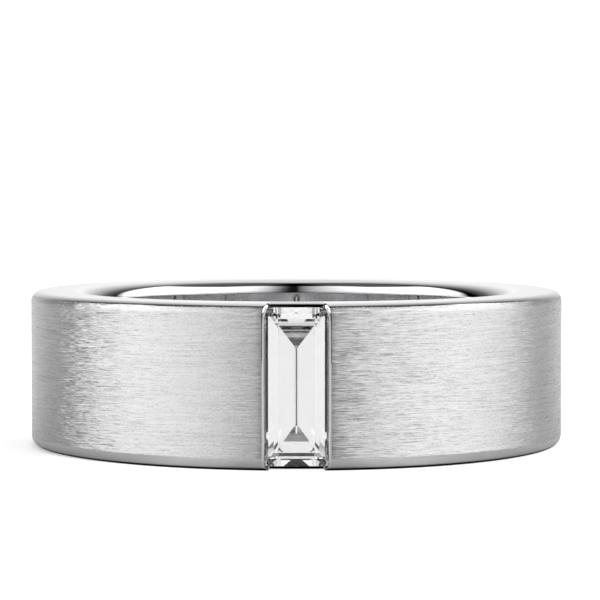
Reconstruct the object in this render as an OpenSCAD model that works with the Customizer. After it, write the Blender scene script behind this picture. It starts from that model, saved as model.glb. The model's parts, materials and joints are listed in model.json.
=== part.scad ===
// A flat band ring with one baguette stone held across its front in a channel.
// The ring lies on its side: +Z runs along the finger hole, z = 0 is the side that it rests on,
// and the stone faces -Y. All sizes are in millimetres.

/* [Band] */
// Diameter of the finger hole
bore_d = 16.5; // [14:0.1:22]
// Thickness of the metal between the finger hole and the outer face
wall = 2.15; // [2.1:0.05:2.6]
// Width of the band, which is its height as it lies
band_w = 6.0; // [5.9:0.1:9]
// Rounding of the outer edges
outer_edge_r = 0.38; // [0.2:0.02:0.5]
// Rounding of the finger hole's edges, for comfort
bore_edge_r = 0.58; // [0.3:0.02:0.8]

/* [Stone] */
// Width of the stone at its girdle
stone_w = 2.2; // [1.9:0.05:2.4]
// Length of the stone at its girdle
stone_l = 5.7; // [5:0.1:5.8]
// Width of the table, the flat on top
table_w = 1.32; // [1.1:0.02:1.5]
// Length of the table
table_l = 4.92; // [4.4:0.02:5]
// Height of the crown, from the girdle up to the table
crown_h = 0.31; // [0.2:0.01:0.36]
// Thickness of the girdle, the upright band round the stone
girdle_h = 0.05; // [0.03:0.01:0.1]
// Depth of the pavilion, from the girdle down to the keel
pavilion_h = 1.09; // [0.8:0.01:1.12]
// Length of the keel, the edge along the stone's back
keel_l = 2.7; // [2:0.1:3.2]

/* [Channel] */
// Distance from the outer face in to the table
table_drop = 0.12; // [0.1:0.01:0.2]
// Part of the girdle that each wall covers
girdle_hold = 0.08; // [0.05:0.01:0.12]
// Outward lean of each wall between the groove and the lip
wall_lean = 0.19; // [0.1:0.01:0.22]
// Rounding of the lip at the top of each wall
lip_r = 0.1; // [0.05:0.01:0.14]
// Air between the stone and the metal round it
seat_gap = 0.03; // [0.02:0.005:0.05]
// Metal left between the finger hole and the channel's floor
floor_t = 0.95; // [0.8:0.05:1]
// Rounding of the floor's two ends
floor_edge_r = 0.3; // [0.1:0.02:0.34]
// Width of the light window behind the keel
window_w = 0.6; // [0.4:0.05:0.8]
// Length of the light window
window_l = 2.9; // [2.4:0.1:3.4]

/* [Hidden] */

bore_r = bore_d / 2;
outer_r = bore_r + wall;
mid_z = band_w / 2;

// Levels of the stone and its seat, as distances from the ring's axis towards the front
table_v = outer_r - table_drop;
girdle_top_v = table_v - crown_h;
girdle_low_v = girdle_top_v - girdle_h;
keel_v = girdle_low_v - pavilion_h;
floor_v = bore_r + floor_t;

// Where the crown's two steps meet: share of its height, and share of the way in to the table
// at the sides and at the ends
crown_break = [0.79, 0.2, 0.76];
// Where the pavilion's two steps meet: share of its depth, and share of the way in to the keel
// at the sides and at the ends
pavilion_break = [0.356, 0.326, 0.336];

// Half-widths of the channel
throat_x = stone_w / 2 - girdle_hold;
groove_x = stone_w / 2 + seat_gap;
groove_top_v = girdle_top_v + seat_gap;
groove_low_v = girdle_low_v - seat_gap;
seat_x = throat_x - 0.04;
floor_x = throat_x - 0.07;

// Direction of the leaning wall, its square into the metal, and the centre of the lip's rounding
wall_rise = outer_r - groove_top_v;
wall_len = norm([wall_lean, wall_rise]);
wall_dir = [wall_lean, wall_rise] / wall_len;
wall_out = [wall_dir[1], -wall_dir[0]];
lip_from = [throat_x, groove_top_v] + lip_r * wall_out;
lip_along = lip_from * wall_dir;
lip_run = -lip_along + sqrt(pow(lip_along, 2) - lip_from * lip_from + pow(outer_r - lip_r, 2));
lip_c = lip_from + lip_run * wall_dir;

// How far a cutter runs past the metal
over = 1;
// Sides of a drawn circle, and of the small roundings
round_fn = 240;
edge_fn = 48;

function mirrored(half) = concat(half, [for (i = [len(half) - 1:-1:0]) [-half[i][0], half[i][1]]]);
function between(a, b, share) = a + (b - a) * share;

// Outline of the stone across one direction, from the keel up one side to the table and down the other
// way is 1 across the stone and 2 along it
function stone_outline(girdle, table, keel, way, gap = 0) =
    mirrored([
        [keel + gap, keel_v - gap],
        [between(girdle, keel, pavilion_break[way]) + gap, between(girdle_low_v, keel_v, pavilion_break[0]) - gap],
        [girdle + gap, girdle_low_v - gap],
        [girdle + gap, girdle_top_v],
        [between(girdle, table, crown_break[way]) + gap, between(girdle_top_v, table_v, crown_break[0])],
        [table + gap, table_v]
    ]);

// Turns a drawing of (sideways, forwards) into a prism along the finger hole
module along_z(length) {
    translate([0, 0, mid_z])
        rotate([180, 0, 0])
            linear_extrude(height = length, center = true)
                children();
}

// Turns a drawing of (up from mid-height, forwards) into a prism across the front
module along_x(length) {
    translate([0, 0, mid_z])
        rotate([180, -90, 0])
            linear_extrude(height = length, center = true)
                children();
}

// The step cut: two prisms that cross give mitred corners
module step_cut(gap = 0) {
    // Half-width of the keel, a hairline flat along the back
    keel_tip = 0.012;
    intersection() {
        along_z(stone_l + 2 * gap)
            polygon(stone_outline(stone_w / 2, table_w / 2, keel_tip, 1, gap));
        along_x(stone_w + 2 * gap)
            polygon(stone_outline(stone_l / 2, table_l / 2, keel_l / 2, 2, gap));
    }
}

// The band's section on one side of the axis: a rectangle with four rounded corners
module band_section() {
    inner_c = bore_r + bore_edge_r;
    outer_c = outer_r - outer_edge_r;
    translate([inner_c, 0])
        square([outer_c - inner_c, band_w]);
    translate([bore_r, bore_edge_r])
        square([wall / 2, band_w - 2 * bore_edge_r]);
    translate([outer_r - wall / 2, outer_edge_r])
        square([wall / 2, band_w - 2 * outer_edge_r]);
    for (z = [bore_edge_r, band_w - bore_edge_r])
        translate([inner_c, z])
            circle(r = bore_edge_r, $fn = edge_fn);
    for (z = [outer_edge_r, band_w - outer_edge_r])
        translate([outer_c, z])
            circle(r = outer_edge_r, $fn = edge_fn);
}

// What the lip's rounding takes off the corner between one wall and the outer face
module lip_trim() {
    foot = lip_c - lip_r * wall_out;
    difference() {
        polygon([
            foot,
            lip_c,
            lip_c * (outer_r + over) / norm(lip_c),
            foot + 2 * over * wall_dir - over / 4 * wall_out
        ]);
        translate(lip_c)
            circle(r = lip_r, $fn = edge_fn);
    }
}

// The channel seen along the finger hole
module channel_plan() {
    mouth_v = outer_r + over;
    polygon(mirrored([
        [floor_x, floor_v],
        [seat_x, groove_low_v],
        [groove_x, groove_low_v],
        [groove_x, groove_top_v],
        [throat_x, groove_top_v],
        [throat_x + wall_lean * (mouth_v - groove_top_v) / wall_rise, mouth_v]
    ]));
    lip_trim();
    mirror([1, 0])
        lip_trim();
}

// What the rounding takes off each end of the channel's floor
module floor_end_trim() {
    for (side = [0, 1])
        mirror([side, 0])
            difference() {
                translate([mid_z - floor_edge_r, floor_v - floor_edge_r])
                    square([floor_edge_r + over, floor_edge_r + seat_gap]);
                translate([mid_z - floor_edge_r, floor_v - floor_edge_r])
                    circle(r = floor_edge_r, $fn = edge_fn);
            }
}

module band() {
    color([0.86, 0.86, 0.87])
        difference() {
            rotate_extrude($fn = round_fn)
                band_section();
            along_z(band_w + 2 * over)
                channel_plan();
            along_x(2 * floor_x)
                floor_end_trim();
            step_cut(seat_gap);
            translate([-window_w / 2, -floor_v - seat_gap, mid_z - window_l / 2])
                cube([window_w, floor_t + 2 * over, window_l]);
        }
}

module baguette_stone() {
    color([0.9, 0.94, 0.98])
        step_cut();
}

band();
baguette_stone();
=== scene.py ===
import json
import math

import bmesh
import bpy
from mathutils import Matrix, Vector


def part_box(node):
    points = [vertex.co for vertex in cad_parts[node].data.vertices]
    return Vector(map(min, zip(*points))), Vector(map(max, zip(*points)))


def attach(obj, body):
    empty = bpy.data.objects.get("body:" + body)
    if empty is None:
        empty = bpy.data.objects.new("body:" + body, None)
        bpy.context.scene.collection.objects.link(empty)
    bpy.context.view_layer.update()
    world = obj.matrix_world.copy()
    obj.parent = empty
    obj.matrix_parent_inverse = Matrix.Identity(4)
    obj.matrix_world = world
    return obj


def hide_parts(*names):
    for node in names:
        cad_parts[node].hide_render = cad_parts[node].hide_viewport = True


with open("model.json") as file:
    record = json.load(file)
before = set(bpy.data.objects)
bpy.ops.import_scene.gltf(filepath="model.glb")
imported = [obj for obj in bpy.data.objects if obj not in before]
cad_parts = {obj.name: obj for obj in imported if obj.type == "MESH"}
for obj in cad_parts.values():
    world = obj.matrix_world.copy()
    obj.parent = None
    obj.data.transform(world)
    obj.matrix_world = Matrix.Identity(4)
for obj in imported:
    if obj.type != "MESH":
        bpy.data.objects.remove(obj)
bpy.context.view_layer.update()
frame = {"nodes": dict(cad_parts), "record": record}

MM = 0.001
HALF_TURN = 180
QUARTER_TURN = 90

# Sizes of the ring, in millimetres. The outer radius, the width and the finger hole come from the frame.
BAND_LOW, BAND_HIGH = (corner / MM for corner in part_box("band"))
STONE_LOW, STONE_HIGH = (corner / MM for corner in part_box("baguette_stone"))
MOUNTS = {mount["name"]: mount for mount in frame["record"]["mounts"]}
OUTER_R = BAND_HIGH.y
BORE_R = MOUNTS["finger_hole"]["dims"]["r_mm"]
BAND_W = BAND_HIGH.z
MID_Z = BAND_W / 2

# Roundings, as in the part
OUTER_EDGE_R = 0.38
BORE_EDGE_R = (BAND_W - MOUNTS["finger_hole"]["dims"]["length_mm"]) / 2
FLOOR_EDGE_R = 0.3
LIP_R = 0.1
CUT_EDGE_R = 0.05

# The channel, as in the part. A level is a distance from the ring's axis towards the front.
SEAT_GAP = 0.03
GIRDLE_HOLD = 0.08
CROWN_H = 0.31
GIRDLE_H = 0.05
WALL_LEAN = 0.19
FLOOR_LEVEL = BORE_R + 0.95
GIRDLE_TOP = -STONE_LOW.y - CROWN_H
GROOVE_TOP = GIRDLE_TOP + SEAT_GAP
GROOVE_LOW = GIRDLE_TOP - GIRDLE_H - SEAT_GAP
THROAT_X = STONE_HIGH.x - GIRDLE_HOLD
GROOVE_X = STONE_HIGH.x + SEAT_GAP
SEAT_X = THROAT_X - 0.04
FLOOR_X = THROAT_X - 0.07
WINDOW_W = 0.6
WINDOW_L = 2.9
# What is left of the channel's wall above the groove at the band's rounded edges
WALL_LEFT = 0.02
# The most of the wall's height that the lip's rounding takes, as a share
LIP_SHARE = 0.6
# How far a block that cuts the metal stands out of it
CUT_PAST = 0.5

# The stone's keel, as its material shows it: how far it is blunt to either side, and at what slope
KEEL_BLUNT = 0.024
KEEL_SLOPE = 1.2

# How finely the curves are cut
ROUND_STEPS = 480
EDGE_STEPS = 10
LIP_STEPS = 8
FLOOR_STEPS = 6
SHARP_ANGLE = math.radians(28)
# Half the channel's outline has its floor, four corners of the groove, and the lip
CHANNEL_POINTS = FLOOR_STEPS + 1 + 4 + LIP_STEPS + 1
# Points of the CAD mesh that are closer than this, in metres, are one
SAME_POINT = 1e-7

# The band's metals, in the order of its material slots
POLISHED, BRUSHED, SEAT = range(3)
# A flat side of the band faces up or down by at least this share
FLAT_SIDE = 0.999
# How far the seat's metal reaches past the groove
SEAT_SPARE = 0.02

# The camera: how far it is from the ring's middle, its height angle, and where it looks
CAMERA_REACH = 107.94
CAMERA_RISE = math.radians(4.4419)
CAMERA_PITCH = math.radians(3.0731)
CAMERA_YAW = math.radians(0.0745)
CAMERA_LENS = 164.17
CAMERA_SENSOR = 36


def new_object(name, bm):
    """Makes an object at the origin from a bmesh in millimetres."""
    mesh = bpy.data.meshes.new(name)
    bmesh.ops.scale(bm, vec=(MM, MM, MM), verts=bm.verts)
    bm.to_mesh(mesh)
    bm.free()
    obj = bpy.data.objects.new(name, mesh)
    bpy.context.scene.collection.objects.link(obj)
    return obj


def rounded_inset(depth, radius):
    """How far a rounded edge stands back from its wall at a depth under the face."""
    if depth >= radius:
        return 0.0
    return radius - math.sqrt(radius**2 - (radius - depth) ** 2)


def edge_depths():
    """Depths under the face at which the outer edge's rounding is cut, from the face down."""
    turns = [math.pi / 2 * (1 - step / EDGE_STEPS) for step in range(EDGE_STEPS + 1)]
    return [OUTER_EDGE_R * (1 - math.sin(turn)) for turn in turns]


def lip_arc(throat, wall, outer):
    """Points of the lip between the leaning wall and the outer face, in (sideways, forwards)."""
    square = Vector((wall.y, -wall.x))
    reach = -throat.dot(wall) + math.sqrt(throat.dot(wall) ** 2 - throat.dot(throat) + outer**2)
    radius = min(LIP_R, LIP_SHARE * reach)
    start = throat + radius * square
    along = start.dot(wall)
    run = -along + math.sqrt(along**2 - start.dot(start) + (outer - radius) ** 2)
    centre = start + run * wall
    first = math.atan2(-square.y, -square.x)
    last = math.atan2(centre.y, centre.x)
    arc = []
    for step in range(LIP_STEPS + 1):
        turn = first + (last - first) * step / LIP_STEPS
        arc.append(centre + radius * Vector((math.cos(turn), math.sin(turn))))
    return arc


def band_outline(depth):
    """The band's outline with its channel at a depth under either face, as (x, y) points."""
    outer = OUTER_R - rounded_inset(depth, OUTER_EDGE_R)
    cut = rounded_inset(depth, CUT_EDGE_R)
    floor = FLOOR_LEVEL - rounded_inset(depth, FLOOR_EDGE_R)
    throat_x = THROAT_X + cut
    groove_top = min(GROOVE_TOP, math.sqrt(outer**2 - throat_x**2) - WALL_LEFT)
    wall = Vector((WALL_LEAN, OUTER_R - GROOVE_TOP)).normalized()
    side = [Vector(((FLOOR_X + cut) * step / FLOOR_STEPS, floor)) for step in range(FLOOR_STEPS + 1)]
    side += [
        Vector((SEAT_X + cut, GROOVE_LOW)),
        Vector((GROOVE_X + cut, GROOVE_LOW)),
        Vector((GROOVE_X + cut, groove_top)),
        Vector((throat_x, groove_top)),
    ]
    side += lip_arc(side[-1], wall, outer)
    first = math.atan2(side[-1].x, side[-1].y)
    steps = ROUND_STEPS // 2
    for step in range(1, steps + 1):
        turn = first + (math.pi - first) * step / steps
        side.append(outer * Vector((math.sin(turn), math.cos(turn))))
    other = [Vector((-point.x, point.y)) for point in side[-2:0:-1]]
    return [(point.x, -point.y) for point in side + other]


def add_ring(bm, points, z):
    """Adds a closed loop of edges and returns them."""
    verts = [bm.verts.new((x, y, z)) for x, y in points]
    return [bm.edges.new((a, b)) for a, b in zip(verts, verts[1:] + verts[:1])]


def make_outer_wall(bm):
    """Lofts the outline from the lower face to the upper one, and returns the two end loops."""
    depths = edge_depths()
    levels = [(depth, depth) for depth in depths] + [(depth, BAND_W - depth) for depth in reversed(depths)]
    rings = [add_ring(bm, band_outline(depth), z) for depth, z in levels]
    for low, high in zip(rings, rings[1:]):
        bmesh.ops.bridge_loops(bm, edges=low + high)
    return rings[0], rings[-1]


def make_bore(bm):
    """Spins the wall of the finger hole with its two rounded edges, and returns the two end loops."""
    profile = []
    for step in range(EDGE_STEPS + 1):
        turn = math.pi / 2 * step / EDGE_STEPS
        radius = BORE_R + BORE_EDGE_R * (1 - math.cos(turn))
        profile.append((radius, BORE_EDGE_R * (1 - math.sin(turn))))
    profile.reverse()
    profile += [(radius, BAND_W - z) for radius, z in reversed(profile)]
    verts = [bm.verts.new((radius, 0, z)) for radius, z in profile]
    edges = [bm.edges.new(pair) for pair in zip(verts, verts[1:])]
    bmesh.ops.spin(
        bm,
        geom=verts + edges,
        cent=(0, 0, 0),
        axis=(0, 0, 1),
        angle=2 * math.pi,
        steps=ROUND_STEPS,
        use_merge=True,
    )
    ends = [edge for edge in bm.edges if edge.is_boundary]
    low = [edge for edge in ends if edge.verts[0].co.z < MID_Z]
    high = [edge for edge in ends if edge.verts[0].co.z > MID_Z]
    return low, high


def cut_with(obj, cutter):
    """Takes the cutter's shape out of the object, and removes the cutter."""
    modifier = obj.modifiers.new("cut", "BOOLEAN")
    modifier.operation = "DIFFERENCE"
    modifier.solver = "EXACT"
    modifier.object = cutter
    graph = bpy.context.evaluated_depsgraph_get()
    mesh = bpy.data.meshes.new_from_object(obj.evaluated_get(graph))
    obj.modifiers.clear()
    obj.data = mesh
    bpy.data.objects.remove(cutter)


def make_window_cutter():
    """The light window behind the stone's keel, as a block."""
    bm = bmesh.new()
    bmesh.ops.create_cube(bm, size=1)
    depth = FLOOR_LEVEL - BORE_R + 2 * CUT_PAST
    bmesh.ops.scale(bm, vec=(WINDOW_W, depth, WINDOW_L), verts=bm.verts)
    bmesh.ops.translate(bm, vec=(0, -(FLOOR_LEVEL + BORE_R) / 2, MID_Z), verts=bm.verts)
    return new_object("window_cutter", bm)


def make_seat_cutter():
    """The pocket in the channel's floor that clears the keel: the stone's own shape, a little larger."""
    stone = frame["nodes"]["baguette_stone"]
    bm = bmesh.new()
    bm.from_mesh(stone.data)
    bmesh.ops.remove_doubles(bm, verts=bm.verts, dist=SAME_POINT)
    bmesh.ops.scale(bm, vec=(1 / MM, 1 / MM, 1 / MM), verts=bm.verts)
    middle = (STONE_LOW + STONE_HIGH) / 2
    size = STONE_HIGH - STONE_LOW
    grown = [(length + 2 * SEAT_GAP) / length for length in size]
    bmesh.ops.scale(bm, vec=grown, space=Matrix.Translation(-middle), verts=bm.verts)
    return new_object("seat_cutter", bm)


def finish_shading(obj):
    """Smooth walls and roundings, crisp cut corners."""
    bm = bmesh.new()
    bm.from_mesh(obj.data)
    for face in bm.faces:
        face.smooth = True
    for edge in bm.edges:
        edge.smooth = edge.is_manifold and edge.calc_face_angle(0.0) < SHARP_ANGLE
    bm.to_mesh(obj.data)
    bm.free()
    modifier = obj.modifiers.new("even_normals", "WEIGHTED_NORMAL")
    modifier.keep_sharp = True


def metal_of(polygon, lip_end):
    """Brushed on the outer face, dull under the stone, and polished elsewhere."""
    centre = polygon.center / MM
    outside = centre.xy.length > OUTER_R - OUTER_EDGE_R and abs(polygon.normal.z) < FLAT_SIDE
    if outside and (abs(centre.x) > lip_end or centre.y > 0):
        return BRUSHED
    between = abs(centre.x) < GROOVE_X + SEAT_SPARE
    deep = BORE_R + SEAT_SPARE < -centre.y < GROOVE_TOP + SEAT_SPARE
    along = abs(centre.z - MID_Z) < MID_Z - FLOOR_EDGE_R
    return SEAT if between and deep and along else POLISHED


def make_band():
    """The band: brushed outer face, polished sides, edges, channel and finger hole."""
    bm = bmesh.new()
    bore_loops = make_bore(bm)
    outer_loops = make_outer_wall(bm)
    for outer, bore, up in zip(outer_loops, bore_loops, (-1, 1)):
        bmesh.ops.triangle_fill(bm, use_beauty=True, edges=outer + bore, normal=(0, 0, up))
    bmesh.ops.recalc_face_normals(bm, faces=bm.faces)
    band = new_object("band_metal", bm)
    cut_with(band, make_seat_cutter())
    cut_with(band, make_window_cutter())
    band.data.materials.append(polished_metal())
    band.data.materials.append(brushed_metal())
    band.data.materials.append(seat_metal())
    lip_end = max(x for x, y in band_outline(MID_Z)[:CHANNEL_POINTS])
    for polygon in band.data.polygons:
        polygon.material_index = metal_of(polygon, lip_end)
    finish_shading(band)
    return band


class Nodes:
    """A short way to add and join shader nodes."""

    def __init__(self, tree):
        self.tree = tree
        tree.nodes.clear()

    def add(self, kind, **settings):
        node = self.tree.nodes.new(kind)
        for name, value in settings.items():
            setattr(node, name, value)
        return node

    def link(self, source, target):
        self.tree.links.new(source, target)

    def math(self, operation, first, second=None, third=None, clamp=False):
        node = self.add("ShaderNodeMath", operation=operation, use_clamp=clamp)
        for socket, value in zip(node.inputs, (first, second, third)):
            if value is None:
                continue
            if isinstance(value, (int, float)):
                socket.default_value = value
            else:
                self.link(value, socket)
        return node.outputs[0]

    def plus(self, first, second):
        return self.math("ADD", first, second)

    def minus(self, first, second):
        return self.math("SUBTRACT", first, second)

    def times(self, first, second):
        return self.math("MULTIPLY", first, second)

    def over(self, first, second):
        return self.math("DIVIDE", first, second)

    def smooth_step(self, value, start, end, top=1):
        """Rises smoothly from 0 at the start to the top at the end."""
        node = self.add("ShaderNodeMapRange", interpolation_type="SMOOTHSTEP")
        node.inputs["From Min"].default_value = start
        node.inputs["From Max"].default_value = end
        node.inputs["To Max"].default_value = top
        self.link(value, node.inputs["Value"])
        return node.outputs[0]

    def ramp_in_mm(self, length, stops, span):
        """A ramp over a length in metres, with its stops and its span in millimetres."""
        return self.ramp(self.over(length, span * MM), stops, span)

    def ramp(self, source, stops, span=1):
        """A curve of brightness over a value from 0 to 1, given as (place, level) stops on a span."""
        node = self.add("ShaderNodeValToRGB")
        elements = node.color_ramp.elements
        while len(elements) < len(stops):
            elements.new(0.5)
        for element, (place, level) in zip(elements, stops):
            element.position = place / span
            element.color = (level, level, level, 1)
        self.link(source, node.inputs[0])
        return node.outputs[0]


def new_material(name):
    """A material with its nodes and its shader."""
    material = bpy.data.materials.new(name)
    material.use_nodes = True
    nodes = Nodes(material.node_tree)
    output = nodes.add("ShaderNodeOutputMaterial")
    shader = nodes.add("ShaderNodeBsdfPrincipled")
    nodes.link(shader.outputs[0], output.inputs["Surface"])
    return material, nodes, shader


# Colours and finishes of the metals and the stone
METAL_COLOUR = (0.87, 0.87, 0.875, 1)
# The seat's dark colour is painted shade under the stone
SEAT_PAINTED_SHADE = (0.3, 0.3, 0.305, 1)
POLISHED_ROUGHNESS = (0.02, 0.05)
HAZE_SCALE = 300
STRIP_ROUGHNESS = 0.04
FIELD_ROUGHNESS = 0.42
SEAT_ROUGHNESS = 0.3
STONE_IOR = 2.417

# Brush strokes, as patches per metre: how many fit along the band, from long to short strokes, and up it
STROKE_SCALES = (330, 1100, 3300, 10500)
STROKE_ROWS = 56000
# How deep the strokes are, in millimetres, and how strongly that shows
STROKE_DEPTH = 0.01
STROKE_RELIEF = 0.6
# How far each set wanders up and down, in millimetres, and how many times per metre of the band
STROKE_RISES = (0.5, -0.4, 0.3, -0.2)
WANDER = 260
# How much the strokes face to the left and right, as a slope
STROKE_SWAY = 0.8
# The brushed field runs from 0.44 to 5.85 mm up the band, and a polished strip is left along each edge. The
# field's edge fades and is ragged by these lengths.
BRUSHED_MID = 3.145
BRUSHED_HALF = 2.705
BRUSHED_FADE = 0.02
BRUSHED_RAGGED = 0.2
# How pale the metal is, as (place, level) stops: the strokes by their own height, the painted shade on the
# polished strips by their height as a share of the band's width (the lower strip darker), and the painted
# shade on the field by its distance from the channel's middle
STROKE_TONE = [(0.34, 0.52), (0.5, 0.9), (0.6, 1)]
STRIP_PAINTED_SHADE = [(0.1, 0.68), (0.5, 0.8)]
CHANNEL_PAINTED_SHADE = [(1.25, 0.71), (1.36, 0.83), (1.47, 0.95), (1.66, 1)]
CHANNEL_SPAN = 2


def object_axes(nodes):
    """The X, Y and Z of Object coordinates."""
    split = nodes.add("ShaderNodeSeparateXYZ")
    nodes.link(nodes.add("ShaderNodeTexCoord").outputs["Object"], split.inputs[0])
    return split.outputs


def object_place(nodes, scale, shift=None):
    """Object coordinates, moved by a shift and stretched by a scale in each direction, per metre."""
    place = nodes.add("ShaderNodeTexCoord").outputs["Object"]
    if shift:
        moved = nodes.add("ShaderNodeVectorMath", operation="ADD")
        nodes.link(place, moved.inputs[0])
        nodes.link(shift, moved.inputs[1])
        place = moved.outputs[0]
    mapping = nodes.add("ShaderNodeMapping", vector_type="POINT")
    mapping.inputs["Scale"].default_value = scale
    nodes.link(place, mapping.inputs["Vector"])
    return mapping.outputs[0]


def noise(nodes, place, detail=0, roughness=0):
    """Soft patches from 0 to 1."""
    node = nodes.add("ShaderNodeTexNoise")
    node.inputs["Scale"].default_value = 1
    node.inputs["Detail"].default_value = detail
    node.inputs["Roughness"].default_value = roughness
    nodes.link(place, node.inputs["Vector"])
    return node.outputs["Fac"]


def brush_stroke_sets(nodes):
    """Sets of strokes, from long to short. They wander up and down a little, each in its own way."""
    wander = nodes.minus(noise(nodes, object_place(nodes, (WANDER, WANDER, 2 * WANDER))), 0.5)
    sets = []
    for across, rise in zip(STROKE_SCALES, STROKE_RISES):
        shift = nodes.add("ShaderNodeCombineXYZ")
        nodes.link(nodes.times(wander, rise * MM), shift.inputs["Z"])
        place = object_place(nodes, (across, across, STROKE_ROWS), shift.outputs[0])
        sets.append(noise(nodes, place))
    return sets


def brushed_field(nodes, z, strokes):
    """1 on the brushed field and 0 on the polished strips, with a ragged edge between them."""
    height = nodes.math("ABSOLUTE", nodes.minus(z, BRUSHED_MID * MM))
    ragged = nodes.times(nodes.minus(strokes, 0.5), BRUSHED_RAGGED * MM)
    outer = (BRUSHED_HALF + BRUSHED_FADE) * MM
    inner = (BRUSHED_HALF - BRUSHED_FADE) * MM
    return nodes.smooth_step(nodes.plus(height, ragged), outer, inner)


def band_colour(nodes, strokes, brushed):
    """Dark and pale strokes on the brushed field with a painted shade beside the channel, and a painted
    shade of one level on each polished strip.
    """
    x, y, z = object_axes(nodes)
    tone = nodes.add("ShaderNodeMix", data_type="RGBA")
    nodes.link(brushed, tone.inputs["Factor"])
    # Painted shade on the polished strips, the lower one darker
    nodes.link(nodes.ramp(nodes.over(z, BAND_W * MM), STRIP_PAINTED_SHADE), tone.inputs["A"])
    # Painted shade: the field darkens a little beside the channel, at the front
    aside = nodes.over(nodes.math("ABSOLUTE", x), CHANNEL_SPAN * MM)
    aside = nodes.plus(aside, nodes.math("GREATER_THAN", y, 0))
    field = nodes.add("ShaderNodeMix", data_type="RGBA", blend_type="MULTIPLY")
    field.inputs["Factor"].default_value = 1
    nodes.link(nodes.ramp(strokes, STROKE_TONE), field.inputs["A"])
    nodes.link(nodes.ramp(aside, CHANNEL_PAINTED_SHADE, CHANNEL_SPAN), field.inputs["B"])
    nodes.link(field.outputs["Result"], tone.inputs["B"])
    return tone.outputs["Result"]


def swayed_normal(nodes, sets, brushed):
    """Turns each stroke a little to the left or right, so that light and dark mix where they meet."""
    facing = nodes.add("ShaderNodeNewGeometry").outputs["Normal"]
    along = nodes.add("ShaderNodeVectorMath", operation="CROSS_PRODUCT")
    along.inputs[0].default_value = (0, 0, 1)
    nodes.link(facing, along.inputs[1])
    sway = nodes.minus(nodes.times(nodes.plus(sets[1], sets[2]), 0.5), 0.5)
    sway = nodes.times(nodes.times(sway, STROKE_SWAY), brushed)
    tilt = nodes.add("ShaderNodeVectorMath", operation="SCALE")
    nodes.link(along.outputs[0], tilt.inputs[0])
    nodes.link(sway, tilt.inputs["Scale"])
    tilted = nodes.add("ShaderNodeVectorMath", operation="ADD")
    nodes.link(facing, tilted.inputs[0])
    nodes.link(tilt.outputs[0], tilted.inputs[1])
    return tilted.outputs[0]


def brushed_metal():
    """White metal brushed round the band, with a polished strip along each edge."""
    material, nodes, shader = new_material("brushed_white_metal")
    shader.inputs["Metallic"].default_value = 1
    shader.inputs["Anisotropic"].default_value = 0.95
    shader.inputs["Anisotropic Rotation"].default_value = 0.25
    tangent = nodes.add("ShaderNodeTangent", direction_type="RADIAL", axis="Z")
    nodes.link(tangent.outputs[0], shader.inputs["Tangent"])

    sets = brush_stroke_sets(nodes)
    strokes = sets[0]
    for more in sets[1:]:
        strokes = nodes.plus(strokes, more)
    strokes = nodes.over(strokes, len(sets))
    brushed = brushed_field(nodes, object_axes(nodes)[2], strokes)
    roughness = nodes.math("MULTIPLY_ADD", brushed, FIELD_ROUGHNESS - STRIP_ROUGHNESS, STRIP_ROUGHNESS)
    nodes.link(roughness, shader.inputs["Roughness"])
    nodes.link(band_colour(nodes, strokes, brushed), shader.inputs["Base Color"])

    bump = nodes.add("ShaderNodeBump")
    nodes.link(nodes.times(brushed, STROKE_RELIEF), bump.inputs["Strength"])
    bump.inputs["Distance"].default_value = STROKE_DEPTH * MM
    nodes.link(strokes, bump.inputs["Height"])
    nodes.link(swayed_normal(nodes, sets, brushed), bump.inputs["Normal"])
    nodes.link(bump.outputs[0], shader.inputs["Normal"])
    return material


def polished_metal():
    """The same metal with a mirror polish and the faintest haze."""
    material, nodes, shader = new_material("polished_white_metal")
    shader.inputs["Base Color"].default_value = METAL_COLOUR
    shader.inputs["Metallic"].default_value = 1
    haze = noise(nodes, object_place(nodes, (HAZE_SCALE, HAZE_SCALE, HAZE_SCALE)), detail=3, roughness=0.5)
    spread = nodes.add("ShaderNodeMapRange")
    low, high = POLISHED_ROUGHNESS
    spread.inputs["To Min"].default_value = low
    spread.inputs["To Max"].default_value = high
    nodes.link(haze, spread.inputs["Value"])
    nodes.link(spread.outputs[0], shader.inputs["Roughness"])
    return material


def seat_metal():
    """The metal under the stone, left as cut: duller, and painted darker as shade under the stone."""
    material, nodes, shader = new_material("seat_metal")
    shader.inputs["Base Color"].default_value = SEAT_PAINTED_SHADE
    shader.inputs["Metallic"].default_value = 1
    shader.inputs["Roughness"].default_value = SEAT_ROUGHNESS
    return material


def blunt_keel(nodes):
    """Bends the surface beside the keel, on the last of the stone's depth only."""
    x, y, _ = object_axes(nodes)
    behind = nodes.math("GREATER_THAN", y, (STONE_HIGH.y - 2 * KEEL_BLUNT) * MM)
    across = nodes.math("MINIMUM", nodes.math("ABSOLUTE", x), KEEL_BLUNT * MM)
    bump = nodes.add("ShaderNodeBump")
    bump.inputs["Strength"].default_value = 1
    bump.inputs["Distance"].default_value = 1
    nodes.link(nodes.times(nodes.times(across, behind), KEEL_SLOPE), bump.inputs["Height"])
    return bump.outputs[0]


def clear_stone():
    """A colourless stone with a high refractive index, and a keel that shows as a fine dark line."""
    material, nodes, shader = new_material("clear_stone")
    shader.inputs["Base Color"].default_value = (1, 1, 1, 1)
    shader.inputs["Roughness"].default_value = 0
    shader.inputs["IOR"].default_value = STONE_IOR
    shader.inputs["Transmission Weight"].default_value = 1
    nodes.link(blunt_keel(nodes), shader.inputs["Normal"])
    return material


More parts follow.
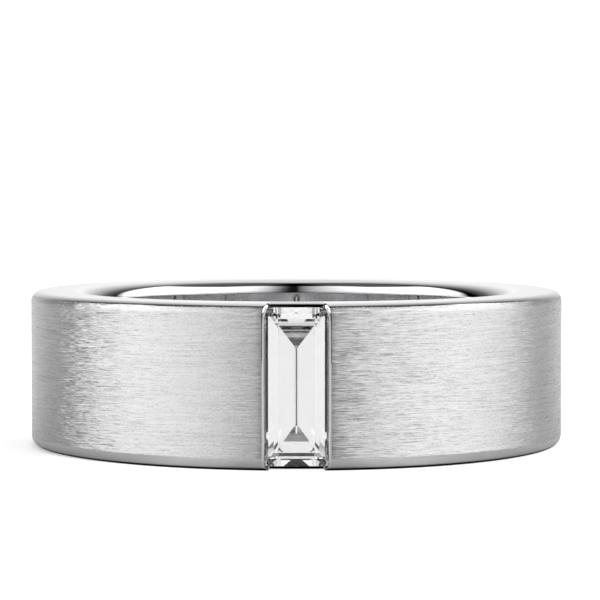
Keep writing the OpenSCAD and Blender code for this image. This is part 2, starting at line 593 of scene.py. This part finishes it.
def make_camera():
    """The photograph's view."""
    data = bpy.data.cameras.new("camera")
    data.sensor_width = CAMERA_SENSOR
    data.lens = CAMERA_LENS
    data.clip_start = 0.001
    data.clip_end = 10
    camera = bpy.data.objects.new("camera", data)
    camera.location = (
        0,
        -CAMERA_REACH * math.cos(CAMERA_RISE) * MM,
        (MID_Z + CAMERA_REACH * math.sin(CAMERA_RISE)) * MM,
    )
    camera.rotation_euler = (math.pi / 2 - CAMERA_PITCH, 0, -CAMERA_YAW)
    bpy.context.scene.collection.objects.link(camera)
    bpy.context.scene.camera = camera


# The table, in millimetres and degrees. An angle round the ring is 0 at the camera's side and 180 behind,
# a reach is a distance from the ring's axis, and a span is the length over which a list of stops is spread.
TABLE_SIZE = 3000
TABLE_LEVEL = -0.01
TABLE_GREY = 0.9
TABLE_GLOW = 0.5
MIRRORED_GREY = 0.56
# Where the table has a painted shadow under the ring: up to which reach, how softly it ends at the outside
# and in the finger hole, and how far the open channel lets the light in, on the table and as the metal
# mirrors it
CONTACT_REACH = 10.08
CONTACT_REACH_MIRRORED = 10.33
CONTACT_EDGE = 0.13
HOLE_EDGE = 0.15
LET_IN = 0.6
LET_IN_MIRRORED = 1.5
# Painted light: the table glows more close to the ring, up to where this glow ends
NEAR_REACH = 10.3
NEAR_END = 11.3
NEAR_GLOW = 0.55
# The table's soft shade on the left of the ring: round the ring, and by reach
LEFT_SHADE = [(38, 0), (66, 0.8), (95, 0.8), (125, 0)]
LEFT_SHADE_OUT = [
    (9.9, 0), (10.1, 0.85), (10.3, 0.85), (10.6, 0.66), (11.1, 0.48), (12, 0.35), (13.5, 0.22), (16, 0),
]
LEFT_SPAN = 20
# What the stone shows of the table: a painted glow forwards from the axis, a painted dim patch in front,
# and how much darker the patch and all the table are painted after many reflections
STONE_GLOW = [(10.3, 0), (10.6, 0.56), (12, 0.5), (13, 0.62), (14, 0.17)]
PATCH_FORWARD = [(25.4, 0), (26.2, 1), (28.2, 1), (29.5, 0)]
FORWARD_SPAN = 40
PATCH_SIDEWAYS = [(1.4, 1), (2.4, 0)]
SIDEWAYS_SPAN = 4
PATCH_SHADE = 0.75
DEEP_SHADE = 0.8
# What the metal mirrors: painted pools of light beside the front, painted light that makes the finger hole
# paler, a painted shadow line under the ring that fades towards the sides, and painted dark far in front
LIGHT_POOLS = [
    (8, 0), (12, 0.02), (17, 0.15), (26, 0.23), (39, 0.09), (56, 0.03), (80, 0.04), (110, 0.1), (180, 0.6),
]
HOLE_LIGHT = 0.16
CONTACT_FADE = [(38, 0), (58, 1)]
FAR_DARK = [(82, 0), (88, 1)]
FAR_SPAN = 200
FAR_DARK_ROUND = [(8, 1), (14, 0)]


# Light that goes into the stone and comes out again is bent twice
IN_AND_OUT = 2


def after_reflections(nodes, count):
    """1 for light that comes through the stone after this many reflections inside it, or more."""
    path = nodes.add("ShaderNodeLightPath")
    depth = nodes.math("GREATER_THAN", path.outputs["Ray Depth"], count + IN_AND_OUT - 0.5)
    return nodes.times(path.outputs["Is Transmission Ray"], depth)


def through_stone(nodes):
    """1 for light that comes through the stone."""
    return nodes.add("ShaderNodeLightPath").outputs["Is Transmission Ray"]


def round_ring(nodes, x, y):
    """The angle round the ring in radians, from the camera's side, less than 0 on the left."""
    return nodes.math("ARCTAN2", x, nodes.times(y, -1))


def make_floor(name, level):
    """A flat matt floor at a level, with its material's nodes and shader."""
    bm = bmesh.new()
    bmesh.ops.create_grid(bm, x_segments=1, y_segments=1, size=TABLE_SIZE)
    bmesh.ops.translate(bm, vec=(0, 0, level), verts=bm.verts)
    floor = new_object(name, bm)
    material, nodes, shader = new_material(name)
    shader.inputs["Roughness"].default_value = 1
    shader.inputs["Specular IOR Level"].default_value = 0
    floor.data.materials.append(material)
    return floor, nodes, shader


def ring_contact(nodes, pale_from, let_in):
    """A painted shadow under the ring: 0 where the ring stands on the floor and 1 where light comes in,
    with the distance from the axis.

    The open channel lets the light in further, by some millimetres.
    """
    x, y, _ = object_axes(nodes)
    reach = nodes.math("SQRT", nodes.plus(nodes.math("POWER", x, 2), nodes.math("POWER", y, 2)))
    beside = nodes.math("GREATER_THAN", nodes.math("ABSOLUTE", x), THROAT_X * MM)
    behind = nodes.math("GREATER_THAN", y, 0)
    open_part = nodes.times(nodes.minus(1, nodes.math("MAXIMUM", beside, behind)), let_in * MM)
    let_in_reach = nodes.plus(reach, open_part)
    outside = nodes.smooth_step(let_in_reach, (pale_from - CONTACT_EDGE) * MM, pale_from * MM)
    hole = BORE_R + BORE_EDGE_R
    inside = nodes.smooth_step(reach, hole * MM, (hole - HOLE_EDGE) * MM)
    return nodes.math("MAXIMUM", outside, inside), reach


def left_shade(nodes, reach):
    """A soft shade on the table, on the left of the ring."""
    x, y, _ = object_axes(nodes)
    leftward = nodes.math("DIVIDE", nodes.times(round_ring(nodes, x, y), -1), math.pi, clamp=True)
    side = nodes.ramp(leftward, LEFT_SHADE, HALF_TURN)
    outward = nodes.ramp_in_mm(reach, LEFT_SHADE_OUT, LEFT_SPAN)
    return nodes.minus(1, nodes.times(side, outward))


def shade_in_stone(nodes):
    """The table's shade for light that the stone reflects inside many times."""
    x, y, _ = object_axes(nodes)
    patch = nodes.ramp_in_mm(nodes.times(y, -1), PATCH_FORWARD, FORWARD_SPAN)
    patch = nodes.times(patch, nodes.ramp_in_mm(nodes.math("ABSOLUTE", x), PATCH_SIDEWAYS, SIDEWAYS_SPAN))
    pale = nodes.minus(1, nodes.times(nodes.times(patch, after_reflections(nodes, 3)), PATCH_SHADE))
    # The shade after four reflections draws the stone's corners and its small triangles
    deep = nodes.minus(1, nodes.times(after_reflections(nodes, 4), DEEP_SHADE))
    return nodes.times(pale, deep)


def make_table_top():
    """The table that the camera and the stone see. It glows a little, as on an overexposed table, with a
    painted shadow under the ring and on its left, and a painted glow close to the ring.
    """
    floor, nodes, shader = make_floor("table_top", TABLE_LEVEL)
    floor.visible_glossy = False
    clear, reach = ring_contact(nodes, CONTACT_REACH, LET_IN)
    near = nodes.smooth_step(reach, NEAR_END * MM, NEAR_REACH * MM, NEAR_GLOW)
    glow = nodes.times(nodes.times(clear, nodes.plus(near, 1)), left_shade(nodes, reach))
    shade = shade_in_stone(nodes)
    nodes.link(nodes.times(nodes.times(clear, TABLE_GREY), shade), shader.inputs["Base Color"])
    nodes.link(nodes.times(glow, shade), shader.inputs["Emission Color"])
    # One strength for the camera and another for the stone
    forward = nodes.times(object_axes(nodes)[1], -1)
    in_stone = nodes.ramp_in_mm(forward, STONE_GLOW, FORWARD_SPAN)
    more = nodes.times(through_stone(nodes), nodes.minus(in_stone, TABLE_GLOW))
    nodes.link(nodes.plus(more, TABLE_GLOW), shader.inputs["Emission Strength"])


def make_mirrored_table():
    """The table that the metal mirrors, with painted pools of light standing for the light that the two
    soft boxes throw on it, and a painted shadow under the ring.
    """
    floor, nodes, shader = make_floor("table_top_in_the_metal", 0)
    floor.visible_camera = False
    floor.visible_diffuse = False
    floor.visible_shadow = False
    floor.visible_transmission = False
    clear, reach = ring_contact(nodes, CONTACT_REACH_MIRRORED, LET_IN_MIRRORED)
    x, y, _ = object_axes(nodes)
    around = nodes.over(nodes.math("ABSOLUTE", round_ring(nodes, x, y)), math.pi)
    # Painted light: inside the finger hole the table glows a little paler
    in_hole = nodes.times(nodes.math("LESS_THAN", reach, BORE_R * MM), HOLE_LIGHT)
    pools = nodes.plus(nodes.ramp(around, LIGHT_POOLS, HALF_TURN), in_hole)
    # The painted shadow line under the ring fades out towards the sides
    faded = nodes.math("MAXIMUM", clear, nodes.ramp(around, CONTACT_FADE, HALF_TURN))
    nodes.link(nodes.times(pools, faded), shader.inputs["Emission Color"])
    shader.inputs["Emission Strength"].default_value = 1
    # Painted dark: the table's colour goes black far in front
    far = nodes.ramp_in_mm(nodes.times(y, -1), FAR_DARK, FAR_SPAN)
    far = nodes.times(far, nodes.ramp(around, FAR_DARK_ROUND, HALF_TURN))
    grey = nodes.times(clear, MIRRORED_GREY)
    nodes.link(nodes.times(grey, nodes.minus(1, far)), shader.inputs["Base Color"])


# The overhead lamp, in millimetres and watts
LAMP_PLACE = Vector((120, 50, 600))
LAMP_SIZE = 500
LAMP_POWER = 0.8


def make_lamp():
    """A round lamp overhead, which only lights and is not mirrored."""
    data = bpy.data.lights.new("overhead", "AREA")
    data.shape = "DISK"
    data.size = LAMP_SIZE * MM
    data.energy = LAMP_POWER
    lamp = bpy.data.objects.new("overhead", data)
    lamp.location = LAMP_PLACE * MM
    lamp.rotation_euler = LAMP_PLACE.to_track_quat("Z", "Y").to_euler()
    lamp.visible_glossy = False
    lamp.visible_transmission = False
    lamp.visible_camera = False
    bpy.context.scene.collection.objects.link(lamp)


# The studio's lights as levels over an angle, in degrees. An angle round the ring is 0 at the camera's side
# and 180 behind, and the boxes' is less than 0 on the left. An angle up is 0 at the table.
BOX_LIGHT = 2.26
BOX_AROUND = [
    (-114, 0), (-106, 0.75), (-88, 0.99), (-72, 1), (-50, 0.79), (-36, 0.58), (-26, 0.45), (-17, 0.33),
    (-10, 0.22), (-3, 0.08), (-1, 0.02), (0, 0.003), (4.5, 0.006), (8.5, 0.055), (13, 0.17), (20, 0.35),
    (26, 0.48), (36, 0.59), (50, 0.77), (72, 0.97), (95, 0.97), (114, 0.84), (123, 0),
]
BOX_LOW = [(3, 0), (5, 0.5), (12, 0.75), (20, 1)]
BOX_TOP = [(60, 1), (67, 0.05)]
# The boxes' upper edge comes down towards the sides, by shares of a quarter turn
BOX_SINK = [(5, 0), (27, 1 / QUARTER_TURN), (40, 5 / QUARTER_TURN), (56, 12 / QUARTER_TURN)]
# The gap between the boxes widens overhead
GAP_HIGH = [(54, 0), (63, 0.9)]
GAP_AROUND = [(17, 1), (36, 0)]
# The sky begins further round to the front higher up, by this much for each degree
SKY_LEAN = 0.3
SKY_AROUND = [(125, 0), (140, 0.13), (165, 0.7), (180, 1)]
SKY_UP = [(4, 1), (20, 0.98), (40, 0.87), (60, 0.8), (75, 0.72), (88, 0.36)]
# Two small pale cards in the gap, which only the stone shows: a broad one, and a thin one higher up
CARD_AROUND = [(5, 1), (9, 0)]
CARD_UP = [(6, 0), (7, 0.88), (12, 0.94), (21, 1), (23, 0)]
CARD_FROM = 8.105
THIN_CARD_FROM = 30
THIN_CARD_TO = 30.335
THIN_CARD_LIGHT = 0.4
# Dark stands between the lights, which only the corners of the stone show
STANDS_AROUND = [
    (44, 0), (48, 1), (62, 1), (66, 0), (80, 0), (84, 1), (96, 1), (100, 0), (110, 0), (114, 1), (130, 1),
    (134, 0),
]
STAND_SHADE = 0.95
# A little more light comes through the stone, for its sparkle
SPARKLE = 0.12
# What the camera sees behind the table is plain white
BACKDROP = 1.05


def studio_angles(nodes):
    """Where a direction in the studio points, as three shares.

    The way round is 0 behind on the left and 1 behind on the right. Around is 0 at the camera's side and 1
    at the back, on either side. Risen is 0 at the table and 1 overhead.
    """
    split = nodes.add("ShaderNodeSeparateXYZ")
    nodes.link(nodes.add("ShaderNodeTexCoord").outputs["Generated"], split.inputs[0])
    east, north, up = split.outputs
    turned = round_ring(nodes, east, north)
    way_round = nodes.math("MULTIPLY_ADD", turned, 0.5 / math.pi, 0.5)
    around = nodes.over(nodes.math("ABSOLUTE", turned), math.pi)
    risen = nodes.math("DIVIDE", nodes.math("ARCSINE", up), math.pi / 2, clamp=True)
    return way_round, around, risen


def soft_boxes(nodes, way_round, around, risen):
    """Two tall soft boxes with a dark gap between them."""
    from_behind = [(HALF_TURN + turn, level) for turn, level in BOX_AROUND]
    box_around = nodes.ramp(way_round, from_behind, 2 * HALF_TURN)
    sink = nodes.ramp(around, BOX_SINK, HALF_TURN)
    box_top = nodes.ramp(nodes.plus(risen, sink), BOX_TOP, QUARTER_TURN)
    box_up = nodes.times(nodes.ramp(risen, BOX_LOW, QUARTER_TURN), box_top)
    gap_high = nodes.ramp(risen, GAP_HIGH, QUARTER_TURN)
    gap = nodes.times(gap_high, nodes.ramp(around, GAP_AROUND, HALF_TURN))
    box_up = nodes.times(box_up, nodes.minus(1, gap))
    return nodes.times(nodes.times(box_around, box_up), BOX_LIGHT)


def pale_sky(nodes, around, risen):
    """A pale sky behind the ring, which reaches further round higher up."""
    reach_round = nodes.plus(around, nodes.times(risen, SKY_LEAN * QUARTER_TURN / HALF_TURN))
    sky_around = nodes.ramp(reach_round, SKY_AROUND, HALF_TURN)
    return nodes.times(sky_around, nodes.ramp(risen, SKY_UP, QUARTER_TURN))


def stone_cards(nodes, around, risen):
    """The small cards in the gap between the boxes."""
    card_up = nodes.ramp(risen, CARD_UP, QUARTER_TURN)
    card_up = nodes.times(card_up, nodes.math("GREATER_THAN", risen, CARD_FROM / QUARTER_TURN))
    thin = nodes.math("GREATER_THAN", risen, THIN_CARD_FROM / QUARTER_TURN)
    thin = nodes.times(thin, nodes.math("LESS_THAN", risen, THIN_CARD_TO / QUARTER_TURN))
    card_up = nodes.plus(card_up, nodes.times(thin, THIN_CARD_LIGHT))
    card = nodes.times(card_up, nodes.ramp(around, CARD_AROUND, HALF_TURN))
    return nodes.times(card, through_stone(nodes))


def stand_shade(nodes, around):
    """What the dark stands leave of the light in the corners of the stone."""
    stands = nodes.ramp(around, STANDS_AROUND, HALF_TURN)
    stands = nodes.times(stands, after_reflections(nodes, 4))
    return nodes.minus(1, nodes.times(stands, STAND_SHADE))


def make_studio_light():
    """The light from all round: two soft boxes, a pale sky behind, and what only the stone shows."""
    world = bpy.data.worlds.new("studio")
    bpy.context.scene.world = world
    world.use_nodes = True
    nodes = Nodes(world.node_tree)
    output = nodes.add("ShaderNodeOutputWorld")
    background = nodes.add("ShaderNodeBackground")
    nodes.link(background.outputs[0], output.inputs["Surface"])
    way_round, around, risen = studio_angles(nodes)
    light = nodes.plus(soft_boxes(nodes, way_round, around, risen), pale_sky(nodes, around, risen))
    light = nodes.times(light, nodes.math("MULTIPLY_ADD", through_stone(nodes), SPARKLE, 1))
    light = nodes.plus(light, stone_cards(nodes, around, risen))
    light = nodes.times(light, stand_shade(nodes, around))
    seen = nodes.add("ShaderNodeMix", data_type="FLOAT")
    nodes.link(nodes.add("ShaderNodeLightPath").outputs["Is Camera Ray"], seen.inputs["Factor"])
    nodes.link(light, seen.inputs["A"])
    seen.inputs["B"].default_value = BACKDROP
    nodes.link(seen.outputs["Result"], background.inputs["Color"])
    background.inputs["Strength"].default_value = 1


band = make_band()
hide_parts("band")
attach(band, "root")

stone = frame["nodes"]["baguette_stone"]
stone.data.materials.clear()
stone.data.materials.append(clear_stone())

make_camera()
make_table_top()
make_mirrored_table()
make_lamp()
make_studio_light()

# The stone passes light on many times
LIGHT_BOUNCES = 32
scene = bpy.context.scene
scene.view_settings.view_transform = "Standard"
scene.cycles.max_bounces = LIGHT_BOUNCES
scene.cycles.glossy_bounces = LIGHT_BOUNCES
scene.cycles.transmission_bounces = LIGHT_BOUNCES
